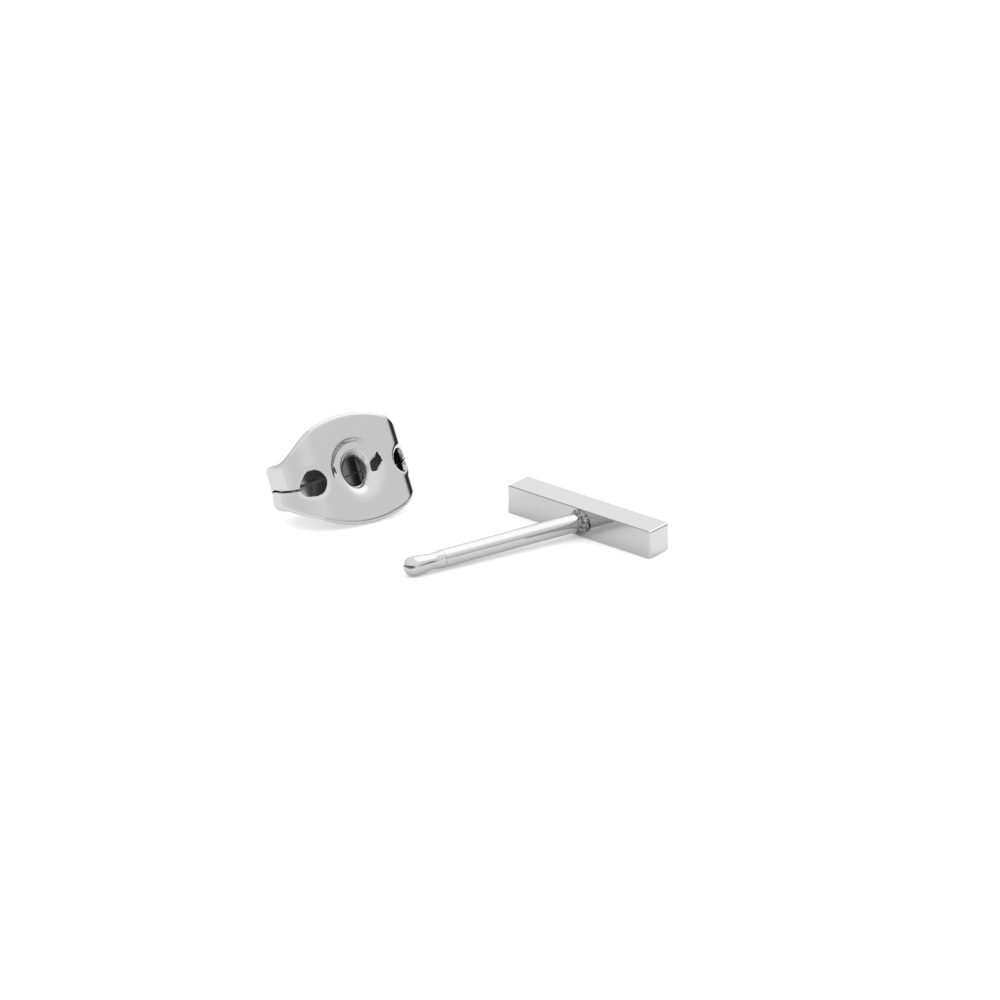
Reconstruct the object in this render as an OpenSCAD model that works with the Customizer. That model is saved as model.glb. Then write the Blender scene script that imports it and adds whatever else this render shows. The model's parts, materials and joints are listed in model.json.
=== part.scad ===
// Bar stud earring lying beside its push-on butterfly back.
// The bar lies on a long side with its post reaching toward -Y until the tip
// touches the surface; the back leans on the plate's lower rim and both curls.

/* [Bar] */
// Length of the bar along its middle
bar_length = 10.4; // [6:0.2:16]
// Height of the bar as it lies
bar_height = 1.38; // [1.2:0.02:2.2]
// Depth of the bar, from the post side to the display face
bar_depth = 1.68; // [1:0.02:3]
// Slant of both end cuts away from square, seen from above
end_slant = 17.5; // [0:0.5:25]

/* [Post] */
// Diameter of the post
post_diameter = 0.9; // [0.7:0.02:1.1]
// Length from the bar to the middle of the round tip
post_length = 10.25; // [8:0.05:13]
// Diameter of the round tip
tip_diameter = 0.96; // [0.8:0.02:1.15]
// Diameter at the bottom of the neck groove
neck_diameter = 0.78; // [0.5:0.02:0.9]
// Distance from the middle of the tip to the narrowest point of the neck
neck_place = 1.25; // [0.9:0.05:2]
// Length of the sloping shoulder between the neck and the post
neck_shoulder = 0.45; // [0.1:0.05:0.6]
// Reach of the solder fillet, along the post and over the bar
solder_reach = 0.22; // [0.1:0.01:0.26]

/* [Back plate] */
// Thickness of the sheet that the whole back is bent from
sheet = 0.24; // [0.18:0.01:0.32]
// Height of the plate at its middle
plate_height = 5.48; // [4.6:0.02:6.6]
// Radius of the long curves that bound the plate above and below
plate_curve = 6.6; // [5.6:0.2:14]
// How far the plate's outline sits above the line of its holes
plate_rise = 0.16; // [0:0.02:0.4]
// Half length of the plate's flat front, from its middle to where the bends start
flat_reach = 2.2; // [1.95:0.05:2.6]
// Half length of the plate at its shoulders, where the long curves end
shoulder_reach = 2.6; // [2.3:0.05:2.9]
// Diameter of the hole for the post
hole_diameter = 1.26; // [1.16:0.02:1.5]
// Diameter of the dish around the post hole
dish_diameter = 3.2; // [2.8:0.1:3.6]
// Depth of the dish below the front of the plate
dish_depth = 0.5; // [0.3:0.05:0.65]
// Diameter of the two relief holes
relief_diameter = 1.36; // [1:0.02:1.6]
// Distance from the post hole to each relief hole, along the front
relief_reach = 2.75; // [2.5:0.05:2.9]
// Width of the slit that splits each arm
slit_width = 0.08; // [0.05:0.01:0.2]
// Width of the lanced gap at each side of the dish
lance_width = 0.3; // [0.15:0.05:0.4]
// Height of the lanced gap at each side of the dish
lance_height = 0.9; // [0.5:0.1:1.2]

/* [Curls] */
// Outer radius of the bend that rolls each arm back
bend_radius = 1.6; // [1.5:0.05:1.9]
// Turn of the bend at which the plate's flanks have come in to the arm
flank_turn = 75; // [60:1:85]
// Width of each arm, from there to its end
arm_width = 2.3; // [1.7:0.05:2.5]
// Clearance between each curl and the post that it would grip
grip_clearance = 0.02; // [0.01:0.01:0.05]
// Angle that each arm turns through, from the plate to its end
curl_turn = 290; // [265:1:295]

/* [Placing] */
// Distance from the post's root to the plate's middle, along the bar
back_beside = 8.9; // [8.4:0.1:12]
// Distance from the post's root to the plate's middle, along the post
back_along = 6.15; // [4:0.05:9]
// Turn of the back about the upright, from its arms lying along the bar
back_turn = 91; // [80:1:100]

/* [Hidden] */
$fn = 96;

silver = [0.86, 0.86, 0.87];
// Spare length by which every cutter passes the surface that it cuts
spare = 0.5;

post_r = post_diameter / 2;
tip_r = tip_diameter / 2;
neck_r = neck_diameter / 2;
// Distance along the post to the narrowest point of the neck
neck_bottom = post_length - neck_place;
// The stud rolls until its tip and the bar's lower edge both touch the surface
stud_roll = atan2(bar_height / 2, post_length)
    - asin(tip_r / norm([post_length, bar_height / 2]));
post_root_z = bar_height / 2 * cos(stud_roll);
// Sideways shift of the display face that the slanted end cuts give
slant_shift = bar_depth * tan(end_slant);

hole_r = hole_diameter / 2;
dish_r = dish_diameter / 2;
relief_r = relief_diameter / 2;
// Radius of the ball that presses the dish
dish_ball = (dish_r * dish_r + dish_depth * dish_depth) / (2 * dish_depth);
back_depth = 2 * bend_radius;
half_reach = flat_reach + bend_radius;
half_plate = plate_height / 2;
plate_low = half_plate - plate_rise;
shoulder_half = half_plate - plate_curve
    + sqrt(plate_curve * plate_curve - shoulder_reach * shoulder_reach);
// The curls close in on the post with a second, wider arc about this radius
grip_radius = flat_reach - post_r - grip_clearance;
// Turn of the bend at which each relief hole sits
relief_angle = (relief_reach - flat_reach) / bend_radius * 180 / PI;
arm_half = arm_width / 2;
// Shares of the flank, straight on the flat sheet, at which it is drawn
flank_shares = [1/3, 2/3, 1];
flank_shares_back = [1, 2/3, 1/3];

// Length of sheet from the shoulder to where the flank ends
flank_length = flat_reach + bend_radius * flank_turn * PI / 180 - shoulder_reach;

// Turn of the bend at a share of the flank, and its reach seen from the front
function flank_place(share) =
    (shoulder_reach + flank_length * share - flat_reach) / bend_radius * 180 / PI;
function flank_reach(share) = flat_reach + bend_radius * sin(flank_place(share));
function flank_half(share) = shoulder_half + (arm_half - shoulder_half) * share;
function flank_rise(share) = plate_rise * (1 - share);

// The back leans until its rim and its curls both touch the surface
back_lean = atan2(plate_low - arm_half, back_depth - sheet);
back_z = plate_low * cos(back_lean) + sheet * sin(back_lean);

// Box of the whole, about the post's root, which puts the origin at its middle
high_x = bar_length / 2;
low_x = -back_beside - back_depth * cos(back_lean)
    - arm_half * sin(back_lean);
high_y = bar_depth * cos(stud_roll) + bar_height / 2 * sin(stud_roll);
low_y = -post_length * cos(stud_roll) - tip_r;
mid_x = (low_x + high_x) / 2;
mid_y = (low_y + high_y) / 2;

// The bar: a parallelogram seen from above, its post side on the XZ plane
module bar() {
    translate([0, 0, -bar_height / 2])
        linear_extrude(bar_height)
            polygon([
                [-bar_length / 2, 0],
                [bar_length / 2, 0],
                [bar_length / 2 - slant_shift, bar_depth],
                [-bar_length / 2 - slant_shift, bar_depth],
            ]);
}

// Half outline of the post with its neck, turned about the post's axis
module post_outline() {
    polygon([
        [0, -spare],
        [post_r, -spare],
        [post_r, neck_bottom - neck_shoulder],
        [neck_r, neck_bottom],
        [tip_r, post_length],
        [0, post_length],
    ]);
}

// Hollow fillet of solder in the corner between the post and the bar
module solder_outline() {
    difference() {
        square([post_r + solder_reach, solder_reach]);
        translate([post_r + solder_reach, solder_reach])
            circle(solder_reach);
    }
}

// The post, its round tip and its solder, built along +Z from the bar
module post() {
    rotate_extrude() post_outline();
    rotate_extrude() solder_outline();
    translate([0, 0, post_length]) sphere(tip_r);
}

module bar_stud() {
    color(silver)
        translate([-mid_x, -mid_y, post_root_z])
            rotate([stud_roll, 0, 0]) {
                bar();
                rotate([90, 0, 0]) post();
            }
}

// Ring of sheet about a bend, between two radii
module ring(outer) {
    difference() {
        circle(outer);
        circle(outer - sheet);
    }
}

// Sector from angle a to angle b, wide enough to cut any ring of a curl
module sector(a, b) {
    steps = 4;
    far = 3 * bend_radius;
    polygon([
        [0, 0],
        for (step = [0:steps])
            let (angle = a + (b - a) * step / steps)
                far * [cos(angle), sin(angle)],
    ]);
}

// Side profile of one arm's first quarter turn, in depth over reach
module bend_profile() {
    translate([flat_reach, bend_radius])
        intersection() {
            ring(bend_radius);
            sector(-90, 0);
        }
}

// Side profile of the rest of one arm: around the back and in to the post
module curl_profile() {
    translate([flat_reach, bend_radius])
        intersection() {
            ring(bend_radius);
            sector(0, 90);
        }
    translate([flat_reach, back_depth - grip_radius])
        intersection() {
            ring(grip_radius);
            sector(90, curl_turn - 90);
        }
}

// A side profile raised into a band of the given height, on both arms
module both_arms(height) {
    for (side = [0, 1])
        mirror([side, 0, 0])
            translate([0, 0, -height / 2])
                linear_extrude(height)
                    children();
}

// A front outline made a block that passes through the whole depth
module through_depth() {
    translate([0, back_depth + spare, 0])
        rotate([90, 0, 0])
            linear_extrude(back_depth + 2 * spare)
                children();
}

// Right half of the front outline's straight edges, shoulders and flanks
module flank_outline() {
    tall = half_plate + plate_rise + spare;
    polygon([
        [-spare, tall],
        [shoulder_reach, tall],
        [shoulder_reach, plate_rise + shoulder_half],
        for (share = flank_shares)
            [flank_reach(share), flank_rise(share) + flank_half(share)],
        [half_reach + spare, arm_half],
        [half_reach + spare, -arm_half],
        for (share = flank_shares_back)
            [flank_reach(share), flank_rise(share) - flank_half(share)],
        [shoulder_reach, plate_rise - shoulder_half],
        [shoulder_reach, -tall],
        [-spare, -tall],
    ]);
}

// Front outline of the plate, out to where the bends face sideways
module plate_outline() {
    intersection() {
        translate([0, plate_rise + half_plate - plate_curve])
            circle(plate_curve);
        translate([0, plate_rise - half_plate + plate_curve])
            circle(plate_curve);
        union() {
            flank_outline();
            mirror([1, 0]) flank_outline();
        }
    }
}

// The plate's flat front and the first quarter of both bends
module plate_sheet() {
    tall = plate_height + 2 * spare;
    intersection() {
        union() {
            translate([-flat_reach, 0, -tall / 2])
                cube([2 * flat_reach, sheet, tall]);
            both_arms(tall) bend_profile();
        }
        through_depth() plate_outline();
    }
}

// A round bar through the sheet, square to it, from front to back
module through_sheet(radius, length) {
    translate([0, length, 0])
        rotate([90, 0, 0])
            cylinder(length + spare, r = radius);
}

// Back of the dish, where the sheet is pressed out behind the plate
module dish_back() {
    intersection() {
        translate([0, dish_depth - dish_ball, 0]) sphere(dish_ball + sheet);
        translate([0, sheet / 2, 0])
            rotate([-90, 0, 0])
                cylinder(dish_depth + sheet, r = dish_r);
    }
}

// Lanced gap at the right of the dish, between the plate and the dished middle
module lance_gap() {
    translate([dish_r - lance_width, -spare, plate_rise - lance_height / 2])
        cube([lance_width, dish_depth + sheet + spare, lance_height]);
}

// Relief hole at the right, square to the bend where it lies
module relief_hole() {
    translate([flat_reach, bend_radius, 0])
        rotate([90, 0, relief_angle])
            translate([0, 0, bend_radius / 2])
                cylinder(bend_radius / 2 + spare, r = relief_r);
}

// Slit that splits the right bend, from its relief hole outward
module slit() {
    translate([relief_reach, -spare, -slit_width / 2])
        cube([bend_radius + spare, bend_radius + spare, slit_width]);
}

// The front of the back: plate, dish, holes, lanced gaps and slits
module plate() {
    difference() {
        union() {
            plate_sheet();
            dish_back();
        }
        translate([0, dish_depth - dish_ball, 0]) sphere(dish_ball);
        through_sheet(hole_r, dish_depth + 2 * sheet);
        for (side = [0, 1])
            mirror([side, 0, 0]) {
                lance_gap();
                relief_hole();
                slit();
            }
    }
}

// The arms behind the plate, each slit into two prongs and curled to the post
module curls() {
    difference() {
        both_arms(arm_width) curl_profile();
        translate([-half_reach - spare, 0, -slit_width / 2])
            cube([2 * half_reach + 2 * spare, back_depth + spare, slit_width]);
    }
}

module butterfly_back() {
    color(silver)
        translate([-back_beside - mid_x, -back_along - mid_y, back_z])
            rotate([0, 0, back_turn])
                rotate([-back_lean, 0, 0]) {
                    plate();
                    curls();
                }
}

bar_stud();
butterfly_back();
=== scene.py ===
# %% [markdown]
# A bar stud lies on a pale table with its push-on butterfly back beside it.
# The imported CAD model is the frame: both of its nodes are hidden here and a
# finer mesh stands for each, in the same place and at the same size.
# The modelling is done in millimetres, because a jewel is only a few of them
# across and Blender's tools round small numbers. Each finished mesh is then
# turned, moved and brought down to metres, so its object stays at the origin.

# %% Frame and sizes
import json
from math import asin, atan2, copysign, cos, pi, radians, sin, sqrt, tan

import bmesh
import bpy
from mathutils import Matrix, Vector, geometry, noise


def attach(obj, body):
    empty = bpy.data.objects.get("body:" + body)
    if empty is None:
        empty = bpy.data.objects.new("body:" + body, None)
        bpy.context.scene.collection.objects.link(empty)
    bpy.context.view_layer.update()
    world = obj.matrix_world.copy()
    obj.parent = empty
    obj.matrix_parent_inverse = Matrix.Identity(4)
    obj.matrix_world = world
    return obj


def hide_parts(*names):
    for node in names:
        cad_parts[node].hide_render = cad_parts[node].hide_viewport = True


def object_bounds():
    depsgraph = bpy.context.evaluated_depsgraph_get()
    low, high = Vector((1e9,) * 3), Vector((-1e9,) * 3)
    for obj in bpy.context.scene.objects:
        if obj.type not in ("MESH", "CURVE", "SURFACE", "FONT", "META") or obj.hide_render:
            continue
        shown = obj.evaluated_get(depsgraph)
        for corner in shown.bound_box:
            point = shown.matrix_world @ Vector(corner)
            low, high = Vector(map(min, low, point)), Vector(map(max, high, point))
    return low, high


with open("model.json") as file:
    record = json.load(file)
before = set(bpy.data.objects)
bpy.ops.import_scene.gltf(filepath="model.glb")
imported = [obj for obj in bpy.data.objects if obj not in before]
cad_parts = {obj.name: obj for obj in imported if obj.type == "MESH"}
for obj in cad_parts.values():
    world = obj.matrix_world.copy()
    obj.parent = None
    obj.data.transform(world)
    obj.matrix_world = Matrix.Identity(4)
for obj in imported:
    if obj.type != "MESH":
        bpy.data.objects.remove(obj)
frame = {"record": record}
cad_box = [list(corner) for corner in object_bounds()]
MM = 0.001
mounts = {mount["name"]: mount for mount in frame["record"]["mounts"]}
print("CAD box in mm:", [[round(v / MM, 2) for v in corner] for corner in cad_box])

# %% [markdown]
# The stud's place comes from the post's mount: its axis gives the roll of the
# stud, which rests on the bar's lower edge and on the tip of the post.
# The back's place comes from its post hole: the hole's axis gives how far the
# back leans and which way its plate faces.

# %% Places of the stud and the back
# How far the solder covers the post's root
SOLDER_REACH = 0.22
# From the middle of the hole's wall out to the plate's front
HOLE_DEPTH = 0.5513

post_mount = mounts["post"]
post_axis = Vector(post_mount["axis"])
post_length = post_mount["dims"]["length_mm"]
post_root = Vector(post_mount["pos_m"]) / MM - post_axis * (SOLDER_REACH + post_length / 2)
stud_roll = asin(-post_axis.z)
stud_place = Matrix.Translation(post_root) @ Matrix.Rotation(stud_roll, 4, "X")

plate_normal = Vector(mounts["post_hole"]["axis"])
plate_middle = Vector(mounts["post_hole"]["pos_m"]) / MM + plate_normal * HOLE_DEPTH
back_lean = asin(plate_normal.z)
back_turn = atan2(plate_normal.x, -plate_normal.y)
back_place = (
    Matrix.Translation(plate_middle)
    @ Matrix.Rotation(back_turn, 4, "Z")
    @ Matrix.Rotation(-back_lean, 4, "X")
)
print("post root in mm:", [round(v, 3) for v in post_root], "roll:", round(stud_roll, 4))
print("plate middle in mm:", [round(v, 3) for v in plate_middle], "lean:", round(back_lean, 4))


def settle(piece, place, node):
    """Puts a millimetre mesh in its place in metres and ties it to the frame."""
    piece.data.transform(Matrix.Scale(MM, 4) @ place)
    piece.data.update()
    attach(piece, "root")
    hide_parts(node)
    print(piece.name, "has", len(piece.data.polygons), "faces")


# %% [markdown]
# The camera looks down at the table by about sixteen degrees from the post's
# side. A long lens far away keeps edges that are parallel on the jewel nearly
# parallel in the picture, as in a close-up taken with a telephoto lens.
# Its aim is counted from the post's root, which lies right of the middle.

# %% Camera
PHOTO_PIXELS = 1000
PIXELS_PER_MM = 21.0
CAMERA_TURN = radians(49.6)
CAMERA_RISE = radians(16.4)
CAMERA_AWAY = 0.6
NEAREST_SHOWN = 0.01
ROOT_PIXEL = (578.0, 522.0)

camera_right = Vector((cos(CAMERA_TURN), sin(CAMERA_TURN), 0))
camera_back = Vector((
    sin(CAMERA_TURN) * cos(CAMERA_RISE),
    -cos(CAMERA_TURN) * cos(CAMERA_RISE),
    sin(CAMERA_RISE),
))
camera_up = camera_back.cross(camera_right)
aim = post_root * MM
aim += camera_right * (PHOTO_PIXELS / 2 - ROOT_PIXEL[0]) / PIXELS_PER_MM * MM
aim += camera_up * (ROOT_PIXEL[1] - PHOTO_PIXELS / 2) / PIXELS_PER_MM * MM

camera_data = bpy.data.cameras.new("photo_camera")
camera = bpy.data.objects.new("photo_camera", camera_data)
bpy.context.scene.collection.objects.link(camera)
turned = Matrix((camera_right, camera_up, camera_back)).transposed().to_4x4()
camera.matrix_world = Matrix.Translation(aim + camera_back * CAMERA_AWAY) @ turned
frame_width = PHOTO_PIXELS / PIXELS_PER_MM * MM
camera_data.lens = camera_data.sensor_width * CAMERA_AWAY / frame_width
camera_data.clip_start = NEAREST_SHOWN
bpy.context.scene.camera = camera
print("lens in mm:", round(camera_data.lens, 1))


# %% [markdown]
# Shader maths reads best as plain sums, so a small class wraps a socket and
# lets Python's own signs add the Math nodes.

# %% Sockets as Python values
class Value:
    """A socket of a node tree that takes part in sums and products."""

    def __init__(self, tree, socket):
        self.tree = tree
        self.socket = socket

    def node(self, kind, settings=None, out=0, **inputs):
        """Adds a node, sets it, feeds its sockets and returns one output.

        A socket goes by its name, or by an i and its number where names repeat.
        """
        made = self.tree.nodes.new(kind)
        for name, setting in (settings or {}).items():
            setattr(made, name, setting)
        for name, value in inputs.items():
            key = int(name[1:]) if name[1:].isdigit() else name.replace("_", " ")
            place = made.inputs[key]
            if isinstance(value, Value):
                self.tree.links.new(value.socket, place)
            else:
                place.default_value = value
        return Value(self.tree, made.outputs[out])

    def _maths(self, operation, first, second):
        return self.node("ShaderNodeMath", {"operation": operation}, i0=first, i1=second)

    def __add__(self, other):
        return self._maths("ADD", self, other)

    __radd__ = __add__

    def __mul__(self, other):
        return self._maths("MULTIPLY", self, other)

    __rmul__ = __mul__

    def __sub__(self, other):
        return self._maths("SUBTRACT", self, other)

    def __rsub__(self, other):
        return self._maths("SUBTRACT", other, self)

    def ramp(self, low, high):
        """0 below low and 1 above high, with a smooth rise between them."""
        return self.node(
            "ShaderNodeMapRange", {"interpolation_type": "SMOOTHSTEP"}, Value=self, i1=low, i2=high
        )


def start_tree(tree):
    """Empties a node tree and returns a wrapped value to add nodes through."""
    tree.nodes.clear()
    return Value(tree, None)


# %% [markdown]
# Polished silver shows little of itself and much of the studio. Its own marks
# are a faint unevenness from polishing, seen as soft swells in a reflection,
# and tiny wipe marks that lie along the metal. Both go through one Bump node.
# The solder is truly darker and duller. An attribute says how far at each point, and the same
# attribute also carries painted shade and painted dark reflections: on the inside of the back, in
# creases, slits and the nick, and along sharp turns.

# %% Polished silver
SILVER_TINT = (0.48, 0.48, 0.48, 1.0)
GRAZING_TINT = (0.88, 0.88, 0.88, 1.0)
# Colour of dull solder, also used for painted shade and painted dark lines
DULL_AND_PAINTED_SHADE_TINT = (0.10, 0.10, 0.10, 1.0)
SWELL_SCALE, SWELL_DETAIL = 420.0, 2.0
WIPE_SCALES, WIPE_DETAIL = (900.0, 5200.0, 5200.0), 4.0
CLOUD_SCALE, CLOUD_DETAIL = 1500.0, 3.0
CLOUD_RANGE = (0.45, 0.75)
# What clouds, wipe marks and dullness add to the roughness
CLOUD_ROUGH, WIPE_ROUGH, DULL_ROUGH = 0.05, 0.03, 0.25
# Heights of the marks in metres
SWELL_HEIGHT = 0.0000008
STUD_WIPES, BACK_WIPES = 0.00000005, 0.00000003
STUD_ROUGH, BACK_ROUGH = 0.05, 0.04


def silver(name, shine, wipe_height):
    """Polished silver with uneven polish, fine wipe marks, and dull places that also carry painted
    shade.
    """
    material = bpy.data.materials.new(name)
    material.use_nodes = True
    tree = material.node_tree
    start = start_tree(tree)
    place = start.node("ShaderNodeTexCoord", out="Object")
    swells = start.node(
        "ShaderNodeTexNoise", Vector=place, Scale=SWELL_SCALE, Detail=SWELL_DETAIL
    )
    wiped = start.node("ShaderNodeMapping", Vector=place, Scale=WIPE_SCALES)
    wipes = start.node("ShaderNodeTexNoise", Vector=wiped, Scale=1.0, Detail=WIPE_DETAIL)
    clouded = start.node(
        "ShaderNodeTexNoise", Vector=place, Scale=CLOUD_SCALE, Detail=CLOUD_DETAIL
    )
    # How dull a point is, or how much painted shade it gets
    dull_and_painted_shade = start.node("ShaderNodeAttribute", {"attribute_name": "dullness"}, out=2)
    rough = shine + CLOUD_ROUGH * clouded.ramp(*CLOUD_RANGE) + WIPE_ROUGH * wipes
    rough = rough + DULL_ROUGH * dull_and_painted_shade
    tint = start.node(
        "ShaderNodeMix", {"data_type": "RGBA"}, out=2, Factor=dull_and_painted_shade, i6=SILVER_TINT, i7=DULL_AND_PAINTED_SHADE_TINT
    )
    marks = SWELL_HEIGHT * swells + wipe_height * wipes
    bump = start.node("ShaderNodeBump", Strength=1.0, Distance=1.0, Height=marks)
    surface = start.node(
        "ShaderNodeBsdfPrincipled", Base_Color=tint, Metallic=1.0, Roughness=rough, Normal=bump,
        Specular_Tint=GRAZING_TINT,
    )
    output = tree.nodes.new("ShaderNodeOutputMaterial")
    tree.links.new(surface.socket, output.inputs["Surface"])
    return material


stud_silver = silver("stud_silver", STUD_ROUGH, STUD_WIPES)
back_silver = silver("back_silver", BACK_ROUGH, BACK_WIPES)
print("finishes:", stud_silver.name, back_silver.name)


# %% [markdown]
# Helpers for working as by hand: everything is deselected first, a primitive
# comes in, and faces or edges are picked in code by their place.
# Two small sums shape forms that swell or fade from one place to another.

# %% Picking and finishing
def clear_selection():
    """Deselects every object, because an operator acts on all that is selected."""
    bpy.ops.object.select_all(action="DESELECT")


def pick_verts(piece, wanted):
    """In edit mode, selects just the vertices whose place passes the test."""
    mesh = bmesh.from_edit_mesh(piece.data)
    bpy.ops.mesh.select_all(action="DESELECT")
    for vert in mesh.verts:
        vert.select_set(wanted(vert.co))
    mesh.select_flush(True)
    bmesh.update_edit_mesh(piece.data)


def add_modifier(piece, kind, **settings):
    """Adds a modifier with its settings and applies it."""
    modifier = piece.modifiers.new(kind.lower(), kind)
    for name, setting in settings.items():
        setattr(modifier, name, setting)
    bpy.context.view_layer.objects.active = piece
    bpy.ops.object.modifier_apply(modifier=modifier.name)


def smooth(low, high, value):
    """0 below low and 1 above high, with a smooth rise between them."""
    share = min(1.0, max(0.0, (value - low) / (high - low)))
    return share * share * (3 - 2 * share)


def mix(first, second, share):
    """The value at a share of the way from first to second."""
    return first + (second - first) * share


# %% [markdown]
# The bar is sawn from square wire and lapped flat, so its faces are true and
# its edges only just broken. Its end cuts slant, seen from above. A cube is
# brought to size, its display side is slid along for the slant, and a bevel
# breaks the edges: the long ones less than the corners of the ends.

# %% Bar
BAR_LENGTH, BAR_HEIGHT, BAR_DEPTH = 10.4, 1.38, 1.68
END_SLANT = radians(17.5)
EDGE_BREAK = 0.04
END_BREAK = 0.13
BREAK_FACETS = 5

clear_selection()
bpy.ops.mesh.primitive_cube_add(size=1, location=(0, BAR_DEPTH / 2, 0))
bar = bpy.context.object
bar.scale = (BAR_LENGTH, BAR_DEPTH, BAR_HEIGHT)
bpy.ops.object.transform_apply(location=True, scale=True)
bpy.ops.object.mode_set(mode="EDIT")
pick_verts(bar, lambda co: co.y > BAR_DEPTH / 2)
bpy.ops.transform.translate(value=(-BAR_DEPTH * tan(END_SLANT), 0, 0))
bpy.ops.object.mode_set(mode="OBJECT")

weights = bar.data.attributes.new("bevel_weight_edge", "FLOAT", "EDGE")
for edge in bar.data.edges:
    ends = [bar.data.vertices[index].co for index in edge.vertices]
    along_bar = abs(ends[0].x - ends[1].x) > BAR_LENGTH / 2
    weights.data[edge.index].value = EDGE_BREAK / END_BREAK if along_bar else 1.0
add_modifier(bar, "BEVEL", width=END_BREAK, segments=BREAK_FACETS, limit_method="WEIGHT")
print("bar faces:", len(bar.data.polygons))

# %% [markdown]
# The post is drawn wire, turned at its end: a neck groove that the back's
# curls snap into, and a rounded tip. A circle is extruded ring by ring and
# each ring is resized, which follows a turned profile closely. The tip keeps a
# short nick where the wire was pinched off.

# %% Post
POST_RADIUS = post_mount["dims"]["r_mm"]
# From the bar to the middle of the round tip
POST_LENGTH = 10.25
# How far the post starts inside the bar, and where a ring parts its long side
POST_INSET, POST_PARTED = 0.4, 4.0
TIP_RADIUS = 0.48
RING_SIDES = 144
# Distance back from the middle of the tip, and radius there
NECK_PROFILE = [
    (1.73, POST_RADIUS),
    (1.70, 0.448),
    (1.67, 0.444),
    (1.58, 0.435),
    (1.46, 0.420),
    (1.34, 0.406),
    (1.22, 0.391),
    (1.14, 0.390),
    (1.04, 0.394),
    (0.94, 0.404),
    (0.82, 0.419),
    (0.70, 0.434),
    (0.58, 0.448),
    (0.44, 0.462),
    (0.30, 0.472),
    (0.15, 0.478),
]
TIP_STEPS = 20
NECK_CREASES = (1.70, 1.22)
NICK_RISE, NICK_HALF, NICK_DEPTH = 0.09, 0.07, 0.07
# Where the nick starts behind the tip's middle, ends to the right, and fades out
NICK_START, NICK_END, NICK_FADE = 0.15, 0.46, 0.12

profile = [(-POST_INSET, POST_RADIUS), (0.0, POST_RADIUS), (POST_PARTED, POST_RADIUS)]
profile += [(POST_LENGTH - back, radius) for back, radius in NECK_PROFILE]
for step in range(TIP_STEPS):
    angle = pi / 2 * step / TIP_STEPS
    profile.append((POST_LENGTH + TIP_RADIUS * sin(angle), TIP_RADIUS * cos(angle)))

clear_selection()
bpy.ops.mesh.primitive_circle_add(
    vertices=RING_SIDES, radius=profile[0][1], location=(0, 0, profile[0][0]), fill_type="NGON"
)
post = bpy.context.object
bpy.ops.object.transform_apply(location=True)
bpy.ops.object.mode_set(mode="EDIT")
bpy.ops.mesh.select_all(action="SELECT")
for (height, radius), (next_height, next_radius) in zip(profile, profile[1:]):
    bpy.ops.mesh.extrude_region_move(
        TRANSFORM_OT_translate={"value": (0, 0, next_height - height)}
    )
    grow = next_radius / radius
    bpy.ops.transform.resize(value=(grow, grow, 1), center_override=(0, 0, next_height))
bpy.ops.mesh.select_all(action="SELECT")
bpy.ops.mesh.normals_make_consistent(inside=False)
bpy.ops.object.mode_set(mode="OBJECT")
post.data.transform(Matrix.Rotation(pi / 2, 4, "X"))


def nick(co):
    """How deep the nick in the tip is at a point, as a share of its full depth."""
    off = abs(co.z - NICK_RISE) / NICK_HALF
    if -co.y < POST_LENGTH - NICK_START or off > 1:
        return 0.0
    return (1 - off ** 2) * smooth(0, NICK_FADE, NICK_END - co.x)


tip_middle = Vector((0, -POST_LENGTH, 0))
for vert in post.data.vertices:
    inward = NICK_DEPTH / TIP_RADIUS * nick(vert.co)
    vert.co = tip_middle + (vert.co - tip_middle) * (1 - inward)
print("post rings:", len(profile))

# %% [markdown]
# Solder runs into the corner between post and bar and is left as it froze:
# a low collar, lumpy and pitted, heavier on one side. A squashed ball is
# roughened by moving its points in and out with noise.

# %% Solder
SOLDER_RADIUS = 0.62
SOLDER_HEIGHT = 0.30
SOLDER_LEAN = 0.28
# Least stretch of bare bar above and below the solder
SOLDER_MARGIN = 0.03
# Share of the size and fineness of coarse and fine lumps, and of the pits
LUMPS = ((0.16, 2.7), (0.12, 6.1))
PIT_SHARE, PIT_FINENESS, PIT_SHIFT = 0.16, 15.0, Vector((3, 1, 7))

clear_selection()
bpy.ops.mesh.primitive_ico_sphere_add(subdivisions=7, radius=1)
solder = bpy.context.object
for vert in solder.data.vertices:
    way = vert.co.normalized()
    lumps = sum(share * noise.noise(way * fineness) for share, fineness in LUMPS)
    pits = PIT_SHARE * max(0, noise.noise(way * PIT_FINENESS + PIT_SHIFT))
    size = 1 + SOLDER_LEAN * way.x + lumps - pits
    tall = min(SOLDER_RADIUS * size, BAR_HEIGHT / 2 - SOLDER_MARGIN)
    vert.co = Vector((way.x * SOLDER_RADIUS * size, way.y * SOLDER_HEIGHT * size, way.z * tall))
print("solder faces:", len(solder.data.polygons))

# %% [markdown]
# Soldered metal is one piece, so the three meshes are fused with booleans,
# which leave no walls inside. Edges that turn by more than a set angle stay
# sharp, and so do the creases round the post, at its root and at its neck.

# %% One soldered stud
SHARPEST_SMOOTH = radians(25)
CREASE_CATCH = 0.002
NORMAL_WEIGHT = 50

for other in (post, solder):
    add_modifier(bar, "BOOLEAN", object=other, operation="UNION", solver="EXACT")
    bpy.data.objects.remove(other)
stud = bar
stud.name = "bar_stud_metal"
clear_selection()
stud.select_set(True)
bpy.context.view_layer.objects.active = stud
bpy.ops.object.shade_smooth_by_angle(angle=SHARPEST_SMOOTH)
crease_places = [0.0] + [back - POST_LENGTH for back in NECK_CREASES]
for edge in stud.data.edges:
    ends = [stud.data.vertices[index].co.y for index in edge.vertices]
    if any(max(abs(end - place) for end in ends) < CREASE_CATCH for place in crease_places):
        edge.use_edge_sharp = True
add_modifier(stud, "WEIGHTED_NORMAL", mode="FACE_AREA", weight=NORMAL_WEIGHT, keep_sharp=True)
print("stud faces:", len(stud.data.polygons))
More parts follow.
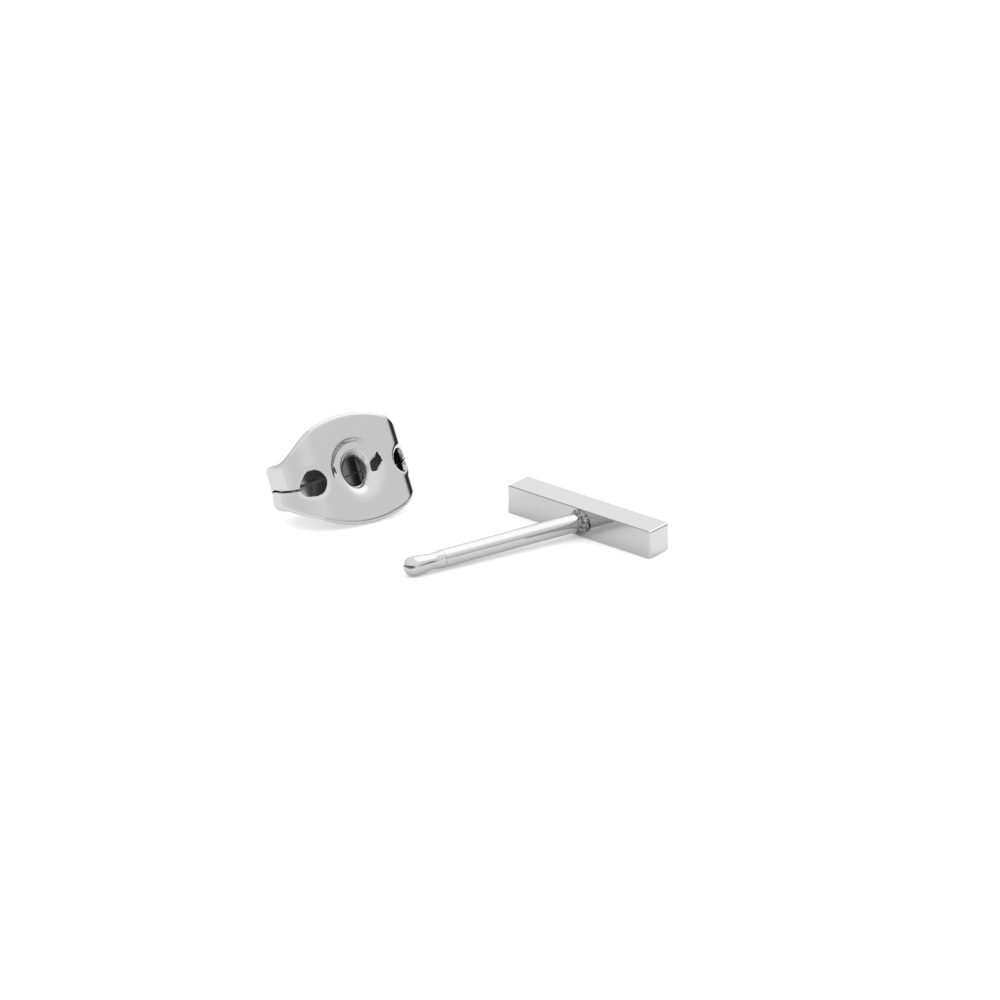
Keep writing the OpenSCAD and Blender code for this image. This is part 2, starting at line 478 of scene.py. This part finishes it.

# %% [markdown]
# Solder is duller than the wire beside it, in clouds. The broken edge at the back of the bar's top
# gets a painted dark line, for the dark reflection seen along it, the neck's crease gets painted
# shade on one side, and the nick is painted dark as shade in a recess. Each point of the stud gets
# its share of dullness and painted shade.

# %% Dull places and painted shade of the stud
SOLDER_DULL, SOLDER_CLOUDS, CLOUD_FINENESS = 0.5, 0.9, 7.0
# Painted dark line on the broken edge, painted shade in the neck's crease, and that crease's half
# width
BREAK_PAINTED_DARK, CREASE_PAINTED_SHADE, CREASE_SHADE_HALF = 0.6, 0.7, 0.01
# Slack with which solder, bar and broken edge are told from what they touch
OFF_BAR, OFF_POST, BAR_SLACK, BREAK_SLACK = 0.005, 0.004, 0.002, 0.001


def stud_dullness_and_painted_shade(co):
    """Dullness and painted shade of the stud at a point, from 0 for bright to 1."""
    off_axis = Vector((co.x, 0, co.z)).length
    if -2 * SOLDER_HEIGHT < co.y < -OFF_BAR and off_axis > POST_RADIUS + OFF_POST:
        return SOLDER_DULL + SOLDER_CLOUDS * noise.noise(co * CLOUD_FINENESS)
    if co.y > -BAR_SLACK:
        # Painted dark line along the broken edge, standing in for the dark line it mirrors
        near, far = sorted((BAR_HEIGHT / 2 - co.z, co.y))
        return BREAK_PAINTED_DARK if BREAK_SLACK < near and far < EDGE_BREAK - BREAK_SLACK else 0.0
    # Painted shade in the neck's crease, darker toward one side
    in_crease = abs(co.y + POST_LENGTH - NECK_CREASES[0]) < CREASE_SHADE_HALF
    crease_shade = CREASE_PAINTED_SHADE * max(0.0, co.x / POST_RADIUS) if in_crease else 0.0
    # The nick is painted dark too, as shade in its recess
    return max(crease_shade, nick(co))


dullness = stud.data.attributes.new("dullness", "FLOAT", "POINT")
for vert in stud.data.vertices:
    dullness.data[vert.index].value = stud_dullness_and_painted_shade(vert.co)
stud.data.materials.clear()
stud.data.materials.append(stud_silver)
settle(stud, stud_place, "bar_stud")

# %% [markdown]
# The back starts as a blank cut from sheet: an oval plate with an arm at each
# side. The blank is a grid whose rows follow the outline, so its rim is as
# smooth as the real one, and fine enough that a mirror finish shows no facets.

# %% Blank of the back
SHEET = 0.24
FLAT_REACH = 2.2
BEND_RADIUS = 1.6
GRIP_CLEARANCE = 0.02
GRIP_RADIUS = FLAT_REACH - POST_RADIUS - GRIP_CLEARANCE
CURL_TURN = radians(296)
HALF_PLATE = 2.74
PLATE_RISE = 0.16
PLATE_CURVE = 6.6
SHOULDER_REACH = 2.6
FLANK_TURN = radians(75)
ARM_HALF = 1.15
# Length over which the outline's corners are eased, to each side in steps
EASE_SPAN, EASE_STEPS = 0.4, 4

flank_end = FLAT_REACH + BEND_RADIUS * FLANK_TURN
turned_reach = FLAT_REACH + BEND_RADIUS * pi
blank_reach = turned_reach + GRIP_RADIUS * (CURL_TURN - pi)


def outline(reach):
    """Lower and upper edge of the blank at a distance from its middle."""
    reach = abs(reach)
    curve = HALF_PLATE - PLATE_CURVE + sqrt(PLATE_CURVE ** 2 - min(reach, SHOULDER_REACH) ** 2)
    flank = min(1.0, max(0.0, (reach - SHOULDER_REACH) / (flank_end - SHOULDER_REACH)))
    half = mix(curve, ARM_HALF, flank)
    rise = PLATE_RISE * (1 - flank)
    return rise - half, rise + half


def eased_outline(reach):
    """The outline with its corners eased by a short running average."""
    steps = range(-EASE_STEPS, EASE_STEPS + 1)
    edges = [outline(reach + EASE_SPAN * step / EASE_STEPS) for step in steps]
    shares = [EASE_STEPS + 1 - abs(step) for step in steps]
    lower = sum(share * edge[0] for share, edge in zip(shares, edges)) / sum(shares)
    upper = sum(share * edge[1] for share, edge in zip(shares, edges)) / sum(shares)
    return lower, upper


COLUMNS, HALF_ROWS = 190, 28
ROWS = 2 * HALF_ROWS + 1
clear_selection()
bpy.ops.mesh.primitive_grid_add(x_subdivisions=COLUMNS, y_subdivisions=ROWS, size=2)
back = bpy.context.object
back.name = "butterfly_back_sheet"
print("blank reach in mm:", round(blank_reach, 2))

# %% [markdown]
# The grid's points are moved onto the blank: columns to their distance from
# the middle, rows to their share between the lower and the upper edge. Both
# are packed closer where the form is busy, at the holes and along the rim.
# The middle row is kept to the width of the slit, so that the slit is cut just
# by deleting its faces, from each relief hole out to the end of the arm.

# %% Outline and slit
SLIT_WIDTH = 0.06
CLOSED_SLIT = 0.004
# Stretch over which the slit narrows, on the left arm and on the right
SLIT_CLOSES = ((5.0, 6.0), (3.6, 4.2))
# Distance from the middle at which the middle row starts to take the slit's width
ROW_EASES = 1.0
RELIEF_REACH = 2.75
# Place along and up the blank, and radius
RELIEFS = ((-RELIEF_REACH, 0.0, 0.74), (2.88, 0.05, 0.58))
HOLE_FLARE = 0.03
HOLE_RADIUS = mounts["post_hole"]["dims"]["r_mm"] + HOLE_FLARE
HOLE_MIDDLE = Vector((-0.02, 0.07, 0.0))
COLUMN_CROWDING = 0.3
ROW_CROWDING = 0.3

for vert in back.data.vertices:
    share = vert.co.x
    reach = blank_reach * share * (1 - COLUMN_CROWDING * (1 - share ** 2))
    lower, upper = eased_outline(reach)
    row = round((vert.co.y + 1) / 2 * ROWS)
    gap = mix(upper / ROWS, SLIT_WIDTH / 2, smooth(ROW_EASES, RELIEF_REACH, abs(reach)))
    gap = mix(gap, CLOSED_SLIT / 2, smooth(*SLIT_CLOSES[0 if reach < 0 else 1], abs(reach)))
    share = (HALF_ROWS - row if row <= HALF_ROWS else row - HALF_ROWS - 1) / HALF_ROWS
    share *= 1 + ROW_CROWDING * (1 - share)
    height = mix(-gap, lower, share) if row <= HALF_ROWS else mix(gap, upper, share)
    vert.co = Vector((reach, height, 0))


def delete_faces(piece, wanted):
    """Deletes the faces whose middle passes the test."""
    clear_selection()
    bpy.context.view_layer.objects.active = piece
    bpy.ops.object.mode_set(mode="EDIT")
    bpy.ops.mesh.select_mode(type="FACE")
    bpy.ops.mesh.select_all(action="DESELECT")
    mesh = bmesh.from_edit_mesh(piece.data)
    for face in mesh.faces:
        face.select_set(wanted(face.calc_center_median()))
    bmesh.update_edit_mesh(piece.data)
    bpy.ops.mesh.delete(type="FACE")
    bpy.ops.mesh.select_mode(type="VERT")
    bpy.ops.object.mode_set(mode="OBJECT")


delete_faces(back, lambda co: abs(co.x) > RELIEF_REACH and abs(co.y) < SLIT_WIDTH / 4)
print("blank faces:", len(back.data.polygons))

# %% [markdown]
# Round holes come out of a grid in two moves: the faces inside the circle are
# deleted, and the points left on the ragged edge are slid onto the circle, at
# even angles. A relief hole keeps the two corners at the mouth of its slit.
# Smoothing all the points near it, and sliding the edge back each time, evens
# out the faces, so that no kink shows in a reflection.

# %% Round holes
# Distances from the circle within which edge points are slid, and others evened
EDGE_CATCH, RELAX_BAND = 0.11, 0.4
RELAX_TURNS = 12
CORNER_CATCH = 0.001


def cut_round_hole(piece, middle, radius):
    """Cuts a round hole in a flat grid and evens the faces around it."""
    middle = Vector(middle)
    delete_faces(piece, lambda co: (co - middle).length < radius)
    bpy.ops.object.mode_set(mode="EDIT")
    mesh = bmesh.from_edit_mesh(piece.data)
    rim, around = [], []
    for vert in mesh.verts:
        away = (vert.co - middle).length
        if not any(edge.is_boundary for edge in vert.link_edges):
            if away < radius + RELAX_BAND:
                around.append(vert.index)
        elif abs(away - radius) < EDGE_CATCH:
            rim.append(vert.index)
    mesh.verts.ensure_lookup_table()
    slit_corners = [
        index for index in rim
        if abs(middle.x) > HOLE_RADIUS
        and abs(abs(mesh.verts[index].co.y) - SLIT_WIDTH / 2) < CORNER_CATCH
        and abs(mesh.verts[index].co.x) > RELIEF_REACH
    ]
    slit_way = atan2(-middle.y, copysign(radius, middle.x))
    for turn in range(RELAX_TURNS):
        mesh = bmesh.from_edit_mesh(piece.data)
        mesh.verts.ensure_lookup_table()
        angles = {}
        for index in rim:
            off = mesh.verts[index].co - middle
            angles[index] = (atan2(off.y, off.x) - slit_way) % (2 * pi)
        rim.sort(key=angles.get)
        first, last = angles[rim[0]], angles[rim[-1]]
        if not slit_corners:
            last = first + 2 * pi * (len(rim) - 1) / len(rim)
        for order, index in enumerate(rim):
            angle = slit_way + mix(first, last, order / (len(rim) - 1))
            off = Vector((cos(angle), sin(angle), 0))
            mesh.verts[index].co = middle + off * radius
        bpy.ops.mesh.select_all(action="DESELECT")
        for index in rim + around:
            mesh.verts[index].select_set(index not in slit_corners)
        bmesh.update_edit_mesh(piece.data)
        if turn < RELAX_TURNS - 1:
            bpy.ops.mesh.vertices_smooth(factor=0.5, repeat=1)
    bpy.ops.object.mode_set(mode="OBJECT")
    print("hole at", round(middle.x, 2), "has", len(rim), "rim points")


cut_round_hole(back, HOLE_MIDDLE, HOLE_RADIUS)
for reach, height, radius in RELIEFS:
    cut_round_hole(back, (reach, height, 0), radius)

# %% [markdown]
# The die that dishes the middle also shears it free at its left and right, so
# a dark gap shows at each side. On this back the gaps are slanted and uneven,
# so each is given by its corners: the faces inside are deleted, and the points
# on the ragged edge are slid onto the lines between the corners.

# %% Lanced gaps
# Corners of the sheared gaps at the left and at the right of the dish
LANCES = (
    ((-1.39, 0.76), (-1.25, 0.31), (-1.27, 0.03), (-1.44, 0.37)),
    ((1.42, 0.70), (1.62, 0.20), (1.16, -0.20), (0.84, -0.16), (0.90, 0.31), (1.25, 0.46)),
)
# Distances from the lines within which edge points are slid, and others evened
LANCE_CATCH, LANCE_BAND = 0.10, 0.25
LANCE_TURNS = 6
# Points closer than this to the post hole's rim belong to that rim
RIM_CATCH = 0.02


def nearest_on(corners, co):
    """Nearest point to co on the outline through the corners."""
    ends = corners[1:] + corners[:1]
    places = []
    for start, end in zip(corners, ends):
        place, along = geometry.intersect_point_line(co, start, end)
        places.append(start if along < 0 else end if along > 1 else place)
    return min(places, key=lambda place: (place - co).length)


def inside(corners, co):
    """True where co lies inside the outline through the corners."""
    crossings = 0
    for start, end in zip(corners, corners[1:] + corners[:1]):
        if (start.y > co.y) != (end.y > co.y):
            across = mix(start.x, end.x, (co.y - start.y) / (end.y - start.y))
            crossings += across > co.x
    return crossings % 2 == 1


for lance in LANCES:
    corners = [Vector((x, y, 0)) for x, y in lance]
    delete_faces(back, lambda co: inside(corners, co))
    bpy.ops.object.mode_set(mode="EDIT")
    mesh = bmesh.from_edit_mesh(back.data)
    rim, around = [], []
    for vert in mesh.verts:
        off = (vert.co - nearest_on(corners, vert.co)).length
        if any(edge.is_boundary for edge in vert.link_edges):
            off_hole = (vert.co - HOLE_MIDDLE).length - HOLE_RADIUS
            if off < LANCE_CATCH and off_hole > RIM_CATCH:
                rim.append(vert)
        elif off < LANCE_BAND:
            around.append(vert)
    for turn in range(LANCE_TURNS):
        for vert in rim:
            vert.co = nearest_on(corners, vert.co)
        for corner in corners:
            min(rim, key=lambda vert: (vert.co - corner).length).co = corner
        bpy.ops.mesh.select_all(action="DESELECT")
        for vert in rim + around:
            vert.select_set(True)
        bmesh.update_edit_mesh(back.data)
        if turn < LANCE_TURNS - 1:
            bpy.ops.mesh.vertices_smooth(factor=0.5, repeat=1)
    print("gap with", len(rim), "rim points")
    bpy.ops.object.mode_set(mode="OBJECT")

# %% [markdown]
# The dish has two kinds of slope: above, the die pressed a sharp ring step and
# a shallow terrace inside it, and below, the metal runs down to the hole in one
# soft foot. The depth at a point is a blend of both, by its direction.
# The same die leaves every edge rolled a little toward the back, and draws the
# post hole's rim in, so a bright line follows each edge of the real back.

# %% Dish and rolled edges
RING_RADIUS, RING_WIDTH = 1.62, 0.16
RING_STEP, LEFT_STEP = 0.05, 0.09
TERRACE_DEPTH = 0.07
FOOT_RADIUS, FOOT_DEPTH, FOOT_CURVE = 1.75, 0.20, 2.6
# Directions, from -1 to 1, over which the left step and the upper slope set in
STEP_TURNS_LEFT, SLOPE_TURNS_UP = (0.2, 0.8), (-0.6, 0.5)
# Keeps a direction from being divided by nothing at the middle
LEAST_AWAY = 0.1
# Width and depth of the roll
OUTLINE_ROLL, HOLE_ROLL, RELIEF_ROLL = (0.25, 0.09), (0.34, 0.24), (0.20, 0.05)


def direction_of(co):
    """How far left and how far up a point lies from the middle, from -1 to 1."""
    away = max(co.length, LEAST_AWAY)
    return -co.x / away, co.y / away


def dish(co):
    """Depth of the dish at a point of the flat blank."""
    away = co.length
    if away > FOOT_RADIUS:
        return 0.0
    leftward, upward = direction_of(co)
    step = mix(RING_STEP, LEFT_STEP, smooth(*STEP_TURNS_LEFT, leftward))
    ringed = step * (1 - smooth(RING_RADIUS - RING_WIDTH, RING_RADIUS, away))
    ringed += TERRACE_DEPTH * max(0.0, 1 - away / RING_RADIUS)
    down_foot = min(1.0, (FOOT_RADIUS - away) / (FOOT_RADIUS - HOLE_RADIUS))
    return mix(FOOT_DEPTH * down_foot ** FOOT_CURVE, ringed, smooth(*SLOPE_TURNS_UP, upward))


def rolled(distance, width, depth):
    """How far an edge is rolled back at a distance from it."""
    return depth * max(0.0, 1 - distance / width) ** 2


def edge_roll(co):
    """Roll of the outline and of the holes' rims at a point of the blank."""
    lower, upper = eased_outline(co.x)
    roll = rolled(min(upper - co.y, co.y - lower), *OUTLINE_ROLL)
    roll += rolled(max(0.0, (co - HOLE_MIDDLE).length - HOLE_RADIUS), *HOLE_ROLL)
    reach, height, radius = RELIEFS[0 if co.x < 0 else 1]
    off_relief = (co - Vector((reach, height, 0))).length - radius
    return roll + rolled(max(0.0, off_relief), *RELIEF_ROLL)


below_hole = Vector((0, -0.8, 0))
print("depth below the hole in mm:", round(dish(below_hole) + edge_roll(below_hole), 2))

# %% [markdown]
# Bending the arms is plain geometry: along the flat front a point keeps its
# distance, then it goes round a half circle, and past that round a slightly
# larger one that closes in on the post. The grid is rolled by moving each
# point to where that path takes it.

# %% Path of the sheet
def roll_arm(reach, inward):
    """Place across and depth of a point that lies inward of the sheet's front."""
    side = -1 if reach < 0 else 1
    reach = abs(reach)
    if reach <= FLAT_REACH:
        return side * reach, inward
    turn = (reach - FLAT_REACH) / BEND_RADIUS
    if turn <= pi:
        radius = BEND_RADIUS - inward
        return side * (FLAT_REACH + radius * sin(turn)), BEND_RADIUS - radius * cos(turn)
    turn = (reach - turned_reach) / GRIP_RADIUS
    radius = GRIP_RADIUS - inward
    depth = 2 * BEND_RADIUS - GRIP_RADIUS + radius * cos(turn)
    return side * (FLAT_REACH - radius * sin(turn)), depth


print("ends of the arms in mm:", [round(v, 2) for v in roll_arm(blank_reach, 0.0)])

# %% [markdown]
# The real plate shows fine dark lines where the stamped metal turns sharply: along the dish's step
# at its upper left, round the post hole, on the left shoulder and, faintly, along the plate's
# edge. They are dark reflections in the sharp turns. The mesh turns more softly than stamped metal
# does, so these places are painted darker, a painted reflection that stands in for those lines.
# Their shares are worked out on the flat blank.

# %% Painted dark lines of the plate
# Half the width of the step's line, and where it sets in, leftward and upward
STEP_HALF, STEP_FROM_LEFT, STEP_FROM_UP = 0.11, (-0.9, 0.5), (0.1, 0.4)
# The hole's line widens toward its upper left
RIM_NARROW, RIM_WIDE, RIM_WIDENS = 0.10, 0.36, (-0.2, 0.9)
RIM_LEFT, RIM_UP = 0.86, 0.5
SHOULDER_LINE, SHOULDER_STARTS, SHOULDER_ENDS = 0.12, (2.5, 2.9), (4.0, 4.5)
EDGE_LINE, EDGE_ENDS = 0.14, (2.4, 3.0)
# Strength of each painted dark line
STEP_DARK, RIM_DARK, SHOULDER_DARK, EDGE_DARK = 1.2, 0.9, 0.8, 0.3


def painted_dark_lines(co):
    """Share of painted darkness at a point of the flat blank, from 0 to 1."""
    leftward, upward = direction_of(co)
    on_step = 1 - min(1.0, abs(co.length - RING_RADIUS + RING_WIDTH / 2) / STEP_HALF)
    on_step *= smooth(*STEP_FROM_LEFT, leftward) * smooth(*STEP_FROM_UP, upward)
    off = co - HOLE_MIDDLE
    up_left = (off.y * RIM_UP - off.x * RIM_LEFT) / max(off.length, LEAST_AWAY)
    width = mix(RIM_NARROW, RIM_WIDE, smooth(*RIM_WIDENS, up_left))
    on_rim = 1 - smooth(width / 2, width, off.length - HOLE_RADIUS)
    lower, upper = eased_outline(co.x)
    on_shoulder = smooth(*SHOULDER_STARTS, -co.x) * (1 - smooth(*SHOULDER_ENDS, -co.x))
    on_shoulder *= 1 - smooth(0.0, SHOULDER_LINE, upper - co.y)
    on_edge = 1 - smooth(0.0, EDGE_LINE, min(upper - co.y, co.y - lower))
    on_edge *= 1 - smooth(*EDGE_ENDS, abs(co.x))
    return max(
        min(1.0, STEP_DARK * on_step), RIM_DARK * on_rim,
        SHOULDER_DARK * on_shoulder, EDGE_DARK * on_edge,
    )


front_painted_dark = [painted_dark_lines(vert.co) for vert in back.data.vertices]
print("points on dark lines:", sum(dark > 0 for dark in front_painted_dark))

# %% [markdown]
# Now each point goes to its place on the path. The left arm was curled a
# little askew: it climbs on its way round, its lower prong stands out and is
# tucked up where the arm turns back, its slit sags, and its relief hole was
# pressed flat. All of this fades in from the plate outward.

# %% Rolling the arms
# Distance from the middle past which the slit's walls are dull
SLIT_SHOWS = 3.4
# Share of the height that the left relief hole keeps above and below, and where this ends
UPPER_SQUASH, LOWER_SQUASH, SQUASH_FADES = 0.74, 0.92, (0.74, 1.3)
ARM_CLIMB, CLIMB_STARTS = 0.22, (3.6, 4.9)
PRONG_FLARE, FLARE_STARTS = 0.16, (2.9, 4.8)
LOWER_TUCK, TUCK_STARTS, TUCK_ENDS = 0.34, (4.6, 5.8), (6.4, 7.6)
# Height of the slit at its start and at its end, and how it runs between them
SLIT_START, SLIT_END = -0.2, 0.15
SAG_START, SAG_LENGTH, SAG_CURVE = 3.3, 1.7, 1.8
SAG_STARTS, SAG_FADES = (2.9, 3.3), (0.1, 0.9)

left_relief = Vector((-RELIEF_REACH, 0, 0))
slit_points = [
    vert.index for vert in back.data.vertices
    if abs(vert.co.x) > SLIT_SHOWS and abs(vert.co.y) < SLIT_WIDTH
]
front_reaches = [vert.co.x for vert in back.data.vertices]
for vert in back.data.vertices:
    reach, height = vert.co.x, vert.co.y
    across, depth = roll_arm(reach, dish(vert.co) + edge_roll(vert.co))
    squash = UPPER_SQUASH if height > 0 else LOWER_SQUASH
    height *= mix(squash, 1, smooth(*SQUASH_FADES, (vert.co - left_relief).length))
    below = max(0.0, -height)
    climb = ARM_CLIMB * smooth(*CLIMB_STARTS, -reach)
    across -= PRONG_FLARE * smooth(*FLARE_STARTS, -reach) * below / ARM_HALF
    tuck = LOWER_TUCK * smooth(*TUCK_STARTS, -reach) * (1 - smooth(*TUCK_ENDS, -reach))
    along_slit = min(1.0, max(0.0, (-reach - SAG_START) / SAG_LENGTH))
    sag = climb - mix(SLIT_START, SLIT_END, along_slit ** SAG_CURVE)
    sag *= smooth(*SAG_STARTS, -reach) * (1 - smooth(*SAG_FADES, abs(height)))
    vert.co = Vector((across, depth, height + climb + tuck * below / ARM_HALF - sag))
print("points on the slits:", len(slit_points))

# %% [markdown]
# Solidify gives the sheet its thickness behind the face that shows. It needs
# to know which way is out, so a point on the plain part of the plate is asked.
# The new points come in the same order as the front's, behind them.

# %% Thickness
PLAIN_SPOT = Vector((1.0, 0, 2.0))

clear_selection()
back.select_set(True)
bpy.context.view_layer.objects.active = back
bpy.ops.object.mode_set(mode="EDIT")
bpy.ops.mesh.select_all(action="SELECT")
bpy.ops.mesh.normals_make_consistent(inside=False)
bpy.ops.object.mode_set(mode="OBJECT")
plain_face = min(back.data.polygons, key=lambda face: (face.center - PLAIN_SPOT).length)
if plain_face.normal.y > 0:
    back.data.flip_normals()
front_points = len(back.data.vertices)
add_modifier(back, "SOLIDIFY", thickness=SHEET, offset=-1.0, use_even_offset=True, use_rim=True)
print("points of the front and of the whole:", front_points, len(back.data.vertices))

# %% [markdown]
# The inside of the back is darkened partly because the polishing doesn't reach it and partly as
# painted shade. The walls of the slits and the fronts of the ends that curl in are painted dark
# for the shade that falls there. How dark the inside is painted differs from bend to curl, as far
# as the holes of the plate show it. At last one level of subdivision rounds the rims, as tumbling
# does to a stamped part.

# %% Dull places and painted shade of the back, and soft rims
# Painted shade and dullness on the insides of the left arm, with the stretch where its curl is
# painted brighter
LEFT_INSIDE, LEFT_CURL = 0.7, 0.4
LEFT_FROM, LEFT_CURL_FROM, LEFT_CURL_FADES = -3.0, -7.4, (8.4, 9.3)
# Painted shade and dullness on the insides of the plate, of the right arm, and of the dark stretch
# of its curl
PLATE_INSIDE, RIGHT_INSIDE, RIGHT_DARK = 0.6, 0.3, 1.0
RIGHT_FROM, RIGHT_DARK_SPAN = 2.0, (5.3, 9.0)
# Painted shade on the outer and inner walls of the slits
SLIT_OUTER, SLIT_INNER = 0.8, 1.0
# How far past its turn the front of each arm stays bright before painted shade sets in, and the
# fade
LEFT_BRIGHT, RIGHT_BRIGHT, BRIGHT_FADE = 0.4, 1.2, 1.2


def inside_dullness_and_painted_shade(reach):
    """Dullness and painted shade of the sheet's inner face at a distance along the blank."""
    if reach < LEFT_FROM:
        faded = smooth(*LEFT_CURL_FADES, -reach)
        return LEFT_INSIDE if reach > LEFT_CURL_FROM else mix(LEFT_CURL, LEFT_INSIDE, faded)
    if reach < RIGHT_FROM:
        return PLATE_INSIDE
    return RIGHT_DARK if RIGHT_DARK_SPAN[0] < reach < RIGHT_DARK_SPAN[1] else RIGHT_INSIDE


dullness = back.data.attributes.new("dullness", "FLOAT", "POINT")
# Painted shade and dullness on the inner face
for index, reach in enumerate(front_reaches):
    dullness.data[index + front_points].value = inside_dullness_and_painted_shade(reach)
# Painted shade on the slit walls
for index in slit_points:
    dullness.data[index].value = SLIT_OUTER
    dullness.data[index + front_points].value = SLIT_INNER
# Painted shade where the arms curl in, and the painted dark lines of the plate
for index, reach in enumerate(front_reaches):
    bright_to = turned_reach + (RIGHT_BRIGHT if reach > 0 else LEFT_BRIGHT)
    curled_in = smooth(bright_to, bright_to + BRIGHT_FADE, abs(reach))
    dullness.data[index].value = max(dullness.data[index].value, curled_in, front_painted_dark[index])
add_modifier(back, "SUBSURF", levels=1, render_levels=1, use_limit_surface=False)
bpy.ops.object.shade_smooth()
back.data.materials.clear()
back.data.materials.append(back_silver)
settle(back, back_place, "butterfly_back")

# %% [markdown]
# The jewel lies on a white table that glows a little, as a light table does.
# The metal mirrors the table from below, so the glow is stronger where the
# plate, the arm and the bar should look brighter: behind the bar, and around
# the back.

# %% Table
TABLE_SIZE = 2.0
# Gap that keeps the table's face from flickering through the metal on it
TABLE_GAP = 0.000003
TABLE_TINT, TABLE_ROUGH = (0.74, 0.74, 0.74, 1.0), 0.9
GLOW, GLOW_BEHIND, GLOW_BESIDE = 0.26, 0.24, 0.16
# Places in metres between which the glow behind sets in and the one beside ends
BEHIND, BESIDE = (0.0048, 0.0062), (-0.0045, -0.0025)

clear_selection()
table_height = cad_box[0][2] - TABLE_GAP
bpy.ops.mesh.primitive_plane_add(size=TABLE_SIZE, location=(0, 0, table_height))
table = bpy.context.object
table.name = "table"
table_paper = bpy.data.materials.new("table_white")
table_paper.use_nodes = True
paper = start_tree(table_paper.node_tree)
paper_place = paper.node("ShaderNodeTexCoord", out="Object")
along_y = paper.node("ShaderNodeSeparateXYZ", out=1, Vector=paper_place)
along_x = paper.node("ShaderNodeSeparateXYZ", out=0, Vector=paper_place)
glow = GLOW + GLOW_BEHIND * along_y.ramp(*BEHIND) + GLOW_BESIDE * (1 - along_x.ramp(*BESIDE))
paper_surface = paper.node(
    "ShaderNodeBsdfPrincipled", Base_Color=TABLE_TINT, Roughness=TABLE_ROUGH,
    Specular_IOR_Level=0.0, Emission_Color=glow, Emission_Strength=1.0,
)
paper_output = table_paper.node_tree.nodes.new("ShaderNodeOutputMaterial")
table_paper.node_tree.links.new(paper_surface.socket, paper_output.inputs["Surface"])
table.data.materials.append(table_paper)
print("table at height in mm:", round(table_height / MM, 3))

# %% [markdown]
# Polished metal is only seen by what it mirrors, so the light tent matters more
# than any lamp: pale all round, brighter higher up, behind the jewel and just
# above the table, and brightest overhead on the far side. One wide dark band
# stands on the far side above the table's horizon. It draws the dark lines in
# the bends and along the post.

# %% Light tent
WALL, WALL_HIGH, WALL_OVERHEAD = 1.16, 0.25, 0.60
WALL_BEHIND, WALL_LOW, BAND_DARK = 0.32, 0.16, 0.96
# Heights or directions between which each of them sets in
HIGH, OVERHEAD, BEHIND_JEWEL, LOW = (0.36, 0.62), (1.20, 1.34), (0.24, 0.90), (0.0, 0.32)
BAND_FOOT, BAND_TOP, BAND_SIDES = (0.0, 0.012), (0.16, 0.28), (0.38, 0.92)
FAR_SIDE = (0.0, 1.0, 0.0)

world = bpy.data.worlds.new("light_tent")
bpy.context.scene.world = world
world.use_nodes = True
tent = start_tree(world.node_tree)
direction = tent.node("ShaderNodeTexCoord", out="Generated")
height = tent.node("ShaderNodeSeparateXYZ", out=2, Vector=direction)


def facing(way):
    """How far the looked-at direction lies toward a way, from -1 to 1."""
    return tent.node(
        "ShaderNodeVectorMath", {"operation": "DOT_PRODUCT"}, out=1, i0=direction, i1=way
    )


overhead = (height + facing(FAR_SIDE)).ramp(*OVERHEAD)
wall = WALL + WALL_HIGH * height.ramp(*HIGH) + WALL_OVERHEAD * overhead
wall = wall + WALL_BEHIND * facing(tuple(-camera_back)).ramp(*BEHIND_JEWEL)
wall = wall + WALL_LOW * (1 - height.ramp(*LOW))
band = height.ramp(*BAND_FOOT) * (1 - height.ramp(*BAND_TOP))
band = band * facing(FAR_SIDE).ramp(*BAND_SIDES)
light = wall * (1 - BAND_DARK * band)
shown = tent.node("ShaderNodeBackground", Color=(1.0, 1.0, 1.0, 1.0), Strength=light)
tent_output = world.node_tree.nodes.new("ShaderNodeOutputWorld")
world.node_tree.links.new(shown.socket, tent_output.inputs["Surface"])
bpy.context.scene.view_settings.view_transform = "Standard"
print("nodes in the tent:", len(world.node_tree.nodes))
